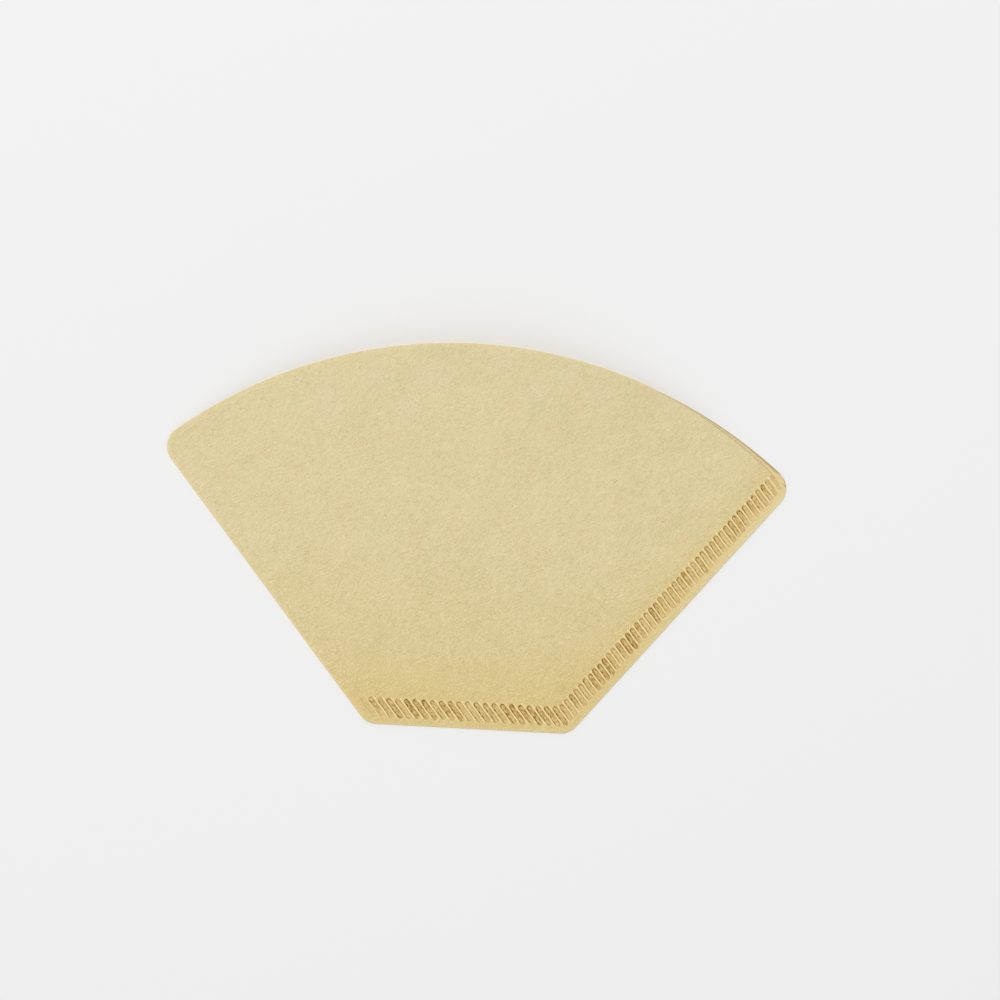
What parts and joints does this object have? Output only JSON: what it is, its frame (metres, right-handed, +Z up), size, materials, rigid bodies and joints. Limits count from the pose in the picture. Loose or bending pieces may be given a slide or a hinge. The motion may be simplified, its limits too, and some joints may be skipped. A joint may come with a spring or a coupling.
{
  "type": "paper coffee filter",
  "caption": "Flat fan-shaped paper coffee filter, folded along one side and crimped shut along the base and the other side, its arched mouth a little open.",
  "frame": {"origin": "middle of the outline's box, on the plane that the back ply lies on", "axes": "+X from the folded side towards the crimped side, +Y from the base towards the mouth, +Z up out of the lying filter"},
  "size_m": [0.1646, 0.1018, 0.0075],
  "materials": {
    "paper": "matte unbleached filter paper, finely creped, toasted brown in the crimped grooves"
  },
  "bodies": {
    "root": {"filter": "paper"}
  },
  "joints": []
}
